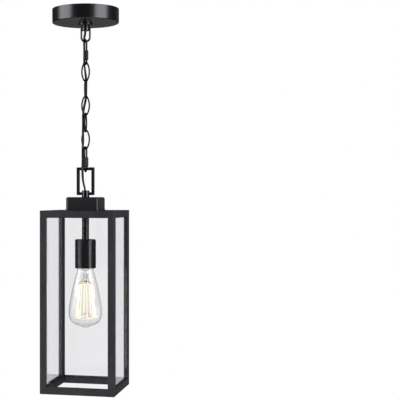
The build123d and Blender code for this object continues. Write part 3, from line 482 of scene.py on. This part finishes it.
# %% Powder coat on the frame
def powder_coat(name, dark, light, gloss_low, gloss_high):
    """Powder coat between two close colours."""
    material, tree = new_finish(name)
    place = add(tree, "ShaderNodeTexCoord").outputs["Object"]
    drift = add(tree, "ShaderNodeTexNoise", {"Vector": place, "Scale": lumps(34), "Detail": 3.0})
    share = add(tree, "ShaderNodeMapRange", {**NOISE_SPAN, "Value": drift, "To Min": 0.0, "To Max": 1.0})
    shade = add(tree, "ShaderNodeMix", {"Factor": share, COLOUR_1: hex_colour(dark),
                                        COLOUR_2: hex_colour(light)}, data_type="RGBA")
    broad = add(tree, "ShaderNodeTexNoise", {"Vector": place, "Scale": lumps(60), "Detail": 1.0})
    gloss = add(tree, "ShaderNodeMapRange", {**NOISE_SPAN, "Value": broad, "To Min": gloss_low,
                                             "To Max": gloss_high})
    peel = add(tree, "ShaderNodeTexNoise", {"Vector": place, "Scale": lumps(2.2), "Detail": 1.5})
    peel_skin = add(tree, "ShaderNodeBump", {"Height": peel, "Distance": 0.006 * MM, "Strength": 0.3})
    fine = add(tree, "ShaderNodeTexNoise", {"Vector": place, "Scale": lumps(0.5), "Detail": 1.0})
    skin = add(tree, "ShaderNodeBump", {"Height": fine, "Distance": 0.002 * MM, "Strength": 0.3,
                                        "Normal": peel_skin})
    shader = add(tree, "ShaderNodeBsdfPrincipled", {"Base Color": shade, "Roughness": gloss, "Normal": skin,
                                                    "IOR": 1.62})
    add(tree, "ShaderNodeOutputMaterial", {"Surface": shader})
    return material


coat = powder_coat("satin_black_powder_coat", "#08080a", "#0e0f11", 0.26, 0.29)
tube_coat = powder_coat("matt_black_powder_coat", "#191b1f", "#23262b", 0.42, 0.52)
bright_coat = powder_coat("gloss_black_powder_coat", "#08080a", "#0e0f11", 0.12, 0.18)
cap_coat = powder_coat("semi_matt_black_powder_coat", "#111214", "#191a1d", 0.34, 0.42)
print("made", [made.name for made in (coat, tube_coat, bright_coat, cap_coat)])

# %% [markdown]
# ## Dipped black steel wire
# The links and quick links are bent from steel rod and dipped in black electrocoat, which is thinner than
# powder and has no orange peel. It could share the powder's recipe, but wire this thin would then look
# swollen. So it has only a fine grain, drawn coarser than the real one so that it can show, and the paint
# is a greyer black in scattered patches where it has rubbed.

# %% Coat on the chain
wire_coat, tree = new_finish("black_electrocoated_steel")
place = add(tree, "ShaderNodeTexCoord").outputs["Object"]
worn = add(tree, "ShaderNodeTexNoise", {"Vector": place, "Scale": lumps(6), "Detail": 5.0, "Roughness": 0.6})
rub = add(tree, "ShaderNodeMapRange", {"Value": worn, "From Min": 0.45, "From Max": 0.75, "To Min": 0.0,
                                       "To Max": 1.0})
shade = add(tree, "ShaderNodeMix", {"Factor": rub, COLOUR_1: hex_colour("#08090a"),
                                    COLOUR_2: hex_colour("#141516")}, data_type="RGBA")
patches = add(tree, "ShaderNodeTexNoise", {"Vector": place, "Scale": lumps(3), "Detail": 3.0})
gloss = add(tree, "ShaderNodeMapRange", {**NOISE_SPAN, "Value": patches, "To Min": 0.24, "To Max": 0.34})
fine = add(tree, "ShaderNodeTexNoise", {"Vector": place, "Scale": lumps(0.6), "Detail": 2.0})
skin = add(tree, "ShaderNodeBump", {"Height": fine, "Distance": 0.003 * MM, "Strength": 0.4})
shader = add(tree, "ShaderNodeBsdfPrincipled", {"Base Color": shade, "Roughness": gloss, "Normal": skin,
                                                "IOR": 1.5, "Specular IOR Level": 0.25})
add(tree, "ShaderNodeOutputMaterial", {"Surface": shader})
print("made", wire_coat.name)

# %% [markdown]
# ## Cord jacket
# Flat twin flex has a soft vinyl jacket moulded over both wires. It could be painted like the chain beside
# it, but it is a shade greyer than that, and matt with a broad sheen. Faint drag marks run down it from the
# extruder's die, so the noise that makes them is stretched along the height. They are drawn half a
# millimetre apart, wider than the real ones, so that they can show.

# %% Vinyl on the cord
DRAG_STRETCH = (1, 1, 0.08)
jacket, tree = new_finish("black_vinyl_flex")
place = add(tree, "ShaderNodeTexCoord").outputs["Object"]
drawn_out = add(tree, "ShaderNodeMapping", {"Vector": place, "Scale": DRAG_STRETCH})
drag = add(tree, "ShaderNodeTexNoise", {"Vector": drawn_out, "Scale": lumps(0.5), "Detail": 2.0})
drift = add(tree, "ShaderNodeTexNoise", {"Vector": place, "Scale": lumps(12), "Detail": 2.0})
share = add(tree, "ShaderNodeMapRange", {**NOISE_SPAN, "Value": drift, "To Min": 0.0, "To Max": 1.0})
shade = add(tree, "ShaderNodeMix", {"Factor": share, COLOUR_1: hex_colour("#121214"),
                                    COLOUR_2: hex_colour("#1a1a1c")}, data_type="RGBA")
gloss = add(tree, "ShaderNodeMapRange", {**NOISE_SPAN, "Value": drag, "To Min": 0.34, "To Max": 0.44})
skin = add(tree, "ShaderNodeBump", {"Height": drag, "Distance": 0.01 * MM, "Strength": 0.3})
shader = add(tree, "ShaderNodeBsdfPrincipled", {"Base Color": shade, "Roughness": gloss, "Normal": skin,
                                                "IOR": 1.53, "Specular IOR Level": 0.35})
add(tree, "ShaderNodeOutputMaterial", {"Surface": shader})
for piece in cord_sections:
    dress(piece, jacket)
print("made", jacket.name)

# %% [markdown]
# ## Glass
# Panes are float glass, flat and almost colourless. The bulb is blown clear glass: thinner, and never quite
# even. Real glass bends and mirrors every ray, and that is what the eye needs to see. But light that comes
# on from a black part inside would find no lamp behind such glass, and the part would turn grey or noisy.
# So only rays straight from the eye meet the real glass. All later rays, and the rays that ask whether a
# lamp is hidden, pass through a plain tinted film. The price is that this glass casts no real shadow.


# %% Clear glass
def clear_glass(name, tint, ior, ripple_mm, ripple_deep_mm):
    """Real glass for the eye, and a clear film for light that has already met something."""
    material, tree = new_finish(name)
    place = add(tree, "ShaderNodeTexCoord").outputs["Object"]
    ripple = add(tree, "ShaderNodeTexNoise", {"Vector": place, "Scale": lumps(ripple_mm), "Detail": 1.0})
    skin = add(tree, "ShaderNodeBump", {"Height": ripple, "Distance": ripple_deep_mm * MM, "Strength": 0.3})
    glass = add(tree, "ShaderNodeBsdfPrincipled", {"Base Color": hex_colour(tint), "Transmission Weight": 1.0,
                                                   "IOR": ior, "Roughness": 0.0, "Normal": skin})
    film = add(tree, "ShaderNodeBsdfTransparent", {"Color": hex_colour(tint)})
    path = add(tree, "ShaderNodeLightPath").outputs
    later = add(tree, "ShaderNodeMath", {0: path["Diffuse Depth"], 1: path["Glossy Depth"]}, operation="ADD")
    film_share = add(tree, "ShaderNodeMath", {0: later, 1: path["Is Shadow Ray"]}, operation="ADD",
                     use_clamp=True)
    mixed = add(tree, "ShaderNodeMixShader", {0: film_share, 1: glass, 2: film})
    add(tree, "ShaderNodeOutputMaterial", {"Surface": mixed})
    return material


pane_glass = clear_glass("clear_float_glass", "#fbfbfc", 1.52, 60, 0.02)
bulb_glass = clear_glass("clear_blown_glass", "#fefefd", 1.5, 14, 0.05)
print("made", pane_glass.name, "and", bulb_glass.name)

# %% [markdown]
# ## Bare metals and mouldings
# Inside the canopy and the cup are the ordinary fixings: zinc plated steel, a green dyed ground screw,
# brass contacts and a nickel plated bulb cap. Each could have a recipe of its own, but metals differ mostly
# in colour and in how evenly they shine, so one recipe with a spangle size and a gloss range covers all of
# them. Plastics and fused glass share a second one. The dye on the ground screw covers its metal, so it uses
# the powder coat's recipe. The finest grain is drawn at about half a millimetre, coarser than the real one,
# so that it can show.


# %% Fixings, contacts and mouldings
def bare_metal(name, dark, light, spangle_mm, gloss_low, gloss_high, scratch=(1, 1, 1)):
    """Metal with a spangle of two close colours."""
    material, tree = new_finish(name)
    place = add(tree, "ShaderNodeTexCoord").outputs["Object"]
    drawn_out = add(tree, "ShaderNodeMapping", {"Vector": place, "Scale": scratch})
    spangle = add(tree, "ShaderNodeTexNoise", {"Vector": drawn_out, "Scale": lumps(spangle_mm),
                                               "Detail": 3.0})
    patch = add(tree, "ShaderNodeMapRange", {**NOISE_SPAN, "Value": spangle, "To Min": 0.0, "To Max": 1.0})
    shade = add(tree, "ShaderNodeMix", {"Factor": patch, COLOUR_1: hex_colour(dark),
                                        COLOUR_2: hex_colour(light)}, data_type="RGBA")
    gloss = add(tree, "ShaderNodeMapRange", {"Value": patch, "To Min": gloss_high, "To Max": gloss_low})
    fine = add(tree, "ShaderNodeTexNoise", {"Vector": drawn_out, "Scale": lumps(0.4), "Detail": 2.0})
    skin = add(tree, "ShaderNodeBump", {"Height": fine, "Distance": 0.004 * MM, "Strength": 0.5})
    shader = add(tree, "ShaderNodeBsdfPrincipled", {"Base Color": shade, "Roughness": gloss, "Normal": skin,
                                                    "Metallic": 1.0})
    add(tree, "ShaderNodeOutputMaterial", {"Surface": shader})
    return material


def moulding(name, dark, light, gloss_low, gloss_high):
    """Hard moulded plastic or fused glass with faint flow marks."""
    material, tree = new_finish(name)
    place = add(tree, "ShaderNodeTexCoord").outputs["Object"]
    swirl = add(tree, "ShaderNodeTexNoise", {"Vector": place, "Scale": lumps(7), "Detail": 4.0,
                                             "Roughness": 0.65})
    flow = add(tree, "ShaderNodeMapRange", {**NOISE_SPAN, "Value": swirl, "To Min": 0.0, "To Max": 1.0})
    shade = add(tree, "ShaderNodeMix", {"Factor": flow, COLOUR_1: hex_colour(dark),
                                        COLOUR_2: hex_colour(light)}, data_type="RGBA")
    gloss = add(tree, "ShaderNodeMapRange", {"Value": flow, "To Min": gloss_low, "To Max": gloss_high})
    fine = add(tree, "ShaderNodeTexNoise", {"Vector": place, "Scale": lumps(0.7), "Detail": 2.0})
    skin = add(tree, "ShaderNodeBump", {"Height": fine, "Distance": 0.008 * MM, "Strength": 0.4})
    shader = add(tree, "ShaderNodeBsdfPrincipled", {"Base Color": shade, "Roughness": gloss, "Normal": skin,
                                                    "IOR": 1.6})
    add(tree, "ShaderNodeOutputMaterial", {"Surface": shader})
    return material


zinc = bare_metal("bright_zinc_plated_steel", "#9ba0a6", "#c3c7cc", 4.0, 0.26, 0.42)
green_dye = powder_coat("green_dyed_ground_screw", "#1c5a33", "#2a7446", 0.3, 0.4)
brass = bare_metal("rolled_brass", "#b58a45", "#cfa761", 6.0, 0.22, 0.36, scratch=(1, 1, 0.2))
nickel = bare_metal("nickel_plated_brass", "#a9a59c", "#cbc8c0", 5.0, 0.2, 0.34, scratch=(0.3, 0.3, 1))
solder = bare_metal("tin_solder", "#8f9296", "#b7babd", 1.5, 0.35, 0.55)
phenolic = moulding("black_phenolic", "#141312", "#1f1d1b", 0.4, 0.55)
fused_bead = moulding("black_fused_glass_bead", "#0d0d10", "#16161b", 0.12, 0.25)
copper = bare_metal("copper_clad_wire", "#8c5a38", "#b07a50", 1.0, 0.3, 0.45)
hook_wire = bare_metal("molybdenum_wire", "#8f8f8a", "#b4b3ab", 1.0, 0.3, 0.45)
fixings = (zinc, green_dye, brass, nickel, solder, phenolic, fused_bead, copper, hook_wire)
print("made", [made.name for made in fixings])

# %% [markdown]
# ## Putting the finishes on the frame
# The frame's own parts have the right shape already, so each only changes its material. Each could be
# dressed on a line of its own, but the names of the parts say what they are made of, so one table says which
# finish covers which of them.

# %% Dress the frame's parts
TUBES = ("post_", "top_rail_", "bottom_rail_")
nodes = list(frame["nodes"])
FINISHES = {
    coat: ["canopy", "collar_ring", "bail", "top_plate", "stem_tube", "socket_cup"],
    bright_coat: ["ceiling_loop", "loop_stud"],
    cap_coat: ["cap"],
    tube_coat: ["glass_clips_top", "glass_clips_bottom"] + [name for name in nodes if name.startswith(TUBES)],
    wire_coat: [name for name in nodes
                if name.startswith("chain_link_") or "quick" in name or "sleeve" in name],
    zinc: ["mounting_strap", "canopy_nipple", "strap_nut", "lamp_pipe", "pipe_nut"],
    green_dye: ["ground_screw"],
    pane_glass: ["glass_front", "glass_right", "glass_rear", "glass_left"],
    phenolic: ["lampholder_body"],
    brass: ["lampholder_shell", "lampholder_contact"],
    nickel: ["bulb_screw_cap"],
    fused_bead: ["bulb_insulator"],
    solder: ["bulb_tip_contact"],
}
for finish, names in FINISHES.items():
    for name in names:
        for slot in frame["nodes"][name].material_slots:
            slot.material = finish
undressed = set(nodes) - {name for names in FINISHES.values() for name in names}
print("replaced by made pieces:", sorted(undressed))

# %% [markdown]
# ## Lit filament
# Lit tungsten is a warm cream that the eye sees as light, not as colour. It could be a pale wire under a
# strong lamp, but then it would go dark in its own shade, so it gives off light by itself, about twice as
# strong as the white around it. Its surface is faintly rough, at a grain drawn coarser than the real one so
# that it can show.

# %% Filament glow
glow, tree = new_finish("lit_tungsten_filament")
place = add(tree, "ShaderNodeTexCoord").outputs["Object"]
fine = add(tree, "ShaderNodeTexNoise", {"Vector": place, "Scale": lumps(0.5), "Detail": 2.0})
skin = add(tree, "ShaderNodeBump", {"Height": fine, "Distance": 0.05 * MM, "Strength": 0.5})
shader = add(tree, "ShaderNodeBsdfPrincipled", {
    "Base Color": hex_colour("#5a4a3c"), "Emission Color": hex_colour("#ffe2b8"), "Emission Strength": 2.0,
    "Roughness": 0.6, "Normal": skin})
add(tree, "ShaderNodeOutputMaterial", {"Surface": shader})
for piece, finish in ((envelope, bulb_glass), (glass_mount, bulb_glass), (lead_wires, copper),
                      (upper_hooks, copper), (lower_hooks, hook_wire), (filament, glow)):
    dress(piece, finish)
print("made", glow.name)

# %% [markdown]
# ## Floor
# A pale floor lies well below the lantern. It could simply be lit until it is white, but that much light
# would also wash out the black paint. So the paint on it stays pale grey for the light, and for the eye,
# directly or through glass, a little white of its own is added, which lights nothing.

# %% Studio floor
FLOOR_HEIGHT, FLOOR_RADIUS = -1.5, 1.6  # m
FLOOR_LIFT = 0.5                        # white that only the eye sees
floor_edit = bmesh.new()
bmesh.ops.create_circle(floor_edit, cap_ends=True, segments=96, radius=FLOOR_RADIUS)
bmesh.ops.translate(floor_edit, verts=floor_edit.verts[:], vec=(0, 0, FLOOR_HEIGHT))
floor = mesh_of(floor_edit, "studio_floor")
floor_paint, tree = new_finish("pale_floor_paint")
paint = add(tree, "ShaderNodeBsdfPrincipled", {"Base Color": hex_colour("#e9e9ea"), "Roughness": 0.7})
white = add(tree, "ShaderNodeEmission", {"Color": hex_colour("#ffffff"), "Strength": FLOOR_LIFT})
no_light = add(tree, "ShaderNodeEmission", {"Strength": 0.0})
path = add(tree, "ShaderNodeLightPath").outputs
for_eye = add(tree, "ShaderNodeMath", {0: path["Is Camera Ray"], 1: path["Is Transmission Ray"]},
              operation="MAXIMUM")
lift = add(tree, "ShaderNodeMixShader", {0: for_eye, 1: no_light, 2: white})
both = add(tree, "ShaderNodeAddShader", {0: paint, 1: lift})
add(tree, "ShaderNodeOutputMaterial", {"Surface": both})
dress(floor, floor_paint)
print("floor at", FLOOR_HEIGHT, "m")

# %% [markdown]
# ## Lamps
# Black paint shows its shape by what it mirrors. One strong lamp would leave most of it plain black, so wide
# soft lamps stand on both sides, an upper and a lower one on each, about sixty degrees round. From there each
# pair draws an upright band of light down every round part, about half way between its middle and its edge.
# A weak fifth lamp near the floor lifts the undersides.

# %% Soft lamps
LAMPS_FACE = Vector((0, 0, -0.4))       # m, about the middle of the lantern


def soft_lamp(name, round_degrees, away, height, wide, tall, power, colour):
    """Soft rectangular lamp that stands round the lantern and faces it."""
    lamp = bpy.data.lights.new(name, "AREA")
    lamp.shape = "RECTANGLE"
    lamp.size, lamp.size_y = wide, tall
    lamp.energy = power
    lamp.color = hex_colour(colour)[:3]
    holder = bpy.data.objects.new(name, lamp)
    angle = math.radians(round_degrees)
    place = Vector((away * math.sin(angle), -away * math.cos(angle), height))
    holder.location = place
    holder.rotation_euler = (LAMPS_FACE - place).to_track_quat("-Z", "Y").to_euler()
    holder.visible_camera = False
    holder.visible_transmission = False
    bpy.context.scene.collection.objects.link(holder)


LAMPS = (       # name, degrees round, then away, height, width and tallness in m, watts, colour
    ("upper_left_lamp", -62, 2.0, 0.35, 1.8, 1.0, 24, "#f2f5ff"),
    ("upper_right_lamp", 68, 2.0, 0.35, 1.6, 1.0, 22.4, "#f8f9ff"),
    ("lower_left_lamp", -56, 2.0, -0.5, 1.2, 1.0, 12, "#f2f6ff"),
    ("lower_right_lamp", 60, 2.0, -0.5, 1.2, 1.0, 13.8, "#f8f9ff"),
    ("floor_lamp", 6, 1.1, -1.45, 1.6, 0.8, 3.4, "#fff0e4"),
)
for lamp_settings in LAMPS:
    soft_lamp(*lamp_settings)

# %% [markdown]
# ## White surroundings
# The world is white for the eye and through glass. A single even white would be simpler, but black paint
# would mirror it and turn grey. So gloss sees a much dimmer world, a little brighter behind the lantern, and
# matt surfaces are lit by a quarter of the white. A perfectly sharp mirror, such as a pane, is the exception:
# it sees full white where a backdrop would stand, and elsewhere half of that once the light is past a pane.

# %% World
BACKDROP_WAY = (0.231, 0.973, 0)        # away from the camera
BACKDROP_EDGE = {"From Min": 0.906, "From Max": 0.966}  # cosines of 25 and 15 degrees
REAR_EDGE = {"From Min": 0.7, "From Max": 0.95}         # cosines of about 46 and 18 degrees
SURFACES_PASSED = 1.5                   # a whole pane has two
SKY_STRENGTHS = {"gloss_front": 0.05, "gloss_rear": 0.15, "matt": 0.25, "inside": 0.5, "white": 1.0}
world = bpy.data.worlds.new("white_studio")
bpy.context.scene.world = world
world.use_nodes = True
tree = world.node_tree
tree.nodes.clear()
path = add(tree, "ShaderNodeLightPath").outputs
direction = add(tree, "ShaderNodeTexCoord").outputs["Generated"]
sky = {use: add(tree, "ShaderNodeBackground", {"Color": hex_colour("#ffffff"), "Strength": strength})
       for use, strength in SKY_STRENGTHS.items()}
along = add(tree, "ShaderNodeVectorMath", {0: direction, 1: BACKDROP_WAY}, operation="DOT_PRODUCT")
on_backdrop = add(tree, "ShaderNodeMapRange", {**BACKDROP_EDGE, "Value": along})
to_the_rear = add(tree, "ShaderNodeVectorMath", {0: direction, 1: (0, 1, 0)}, operation="DOT_PRODUCT")
behind = add(tree, "ShaderNodeMapRange", {**REAR_EDGE, "Value": to_the_rear})
past_a_pane = add(tree, "ShaderNodeMath", {0: path["Transmission Depth"], 1: SURFACES_PASSED},
                  operation="GREATER_THAN")
sharp = add(tree, "ShaderNodeMath", {0: path["Is Singular Ray"], 1: on_backdrop}, operation="MULTIPLY")
sharp_inside = add(tree, "ShaderNodeMath", {0: path["Is Singular Ray"], 1: past_a_pane}, operation="MULTIPLY")
soft_gloss = add(tree, "ShaderNodeMixShader", {0: behind, 1: sky["gloss_front"], 2: sky["gloss_rear"]})
inner_gloss = add(tree, "ShaderNodeMixShader", {0: sharp_inside, 1: soft_gloss, 2: sky["inside"]})
in_gloss = add(tree, "ShaderNodeMixShader", {0: sharp, 1: inner_gloss, 2: sky["white"]})
by_gloss = add(tree, "ShaderNodeMixShader", {0: path["Is Glossy Ray"], 1: sky["matt"], 2: in_gloss})
by_glass = add(tree, "ShaderNodeMixShader", {0: path["Is Transmission Ray"], 1: by_gloss, 2: sky["white"]})
by_eye = add(tree, "ShaderNodeMixShader", {0: path["Is Camera Ray"], 1: by_glass, 2: sky["white"]})
add(tree, "ShaderNodeOutputWorld", {"Surface": by_eye})
print("world:", world.name)

# %% [markdown]
# ## Last step
# The view layer is brought up to date.

# %% Finish
bpy.context.view_layer.update()
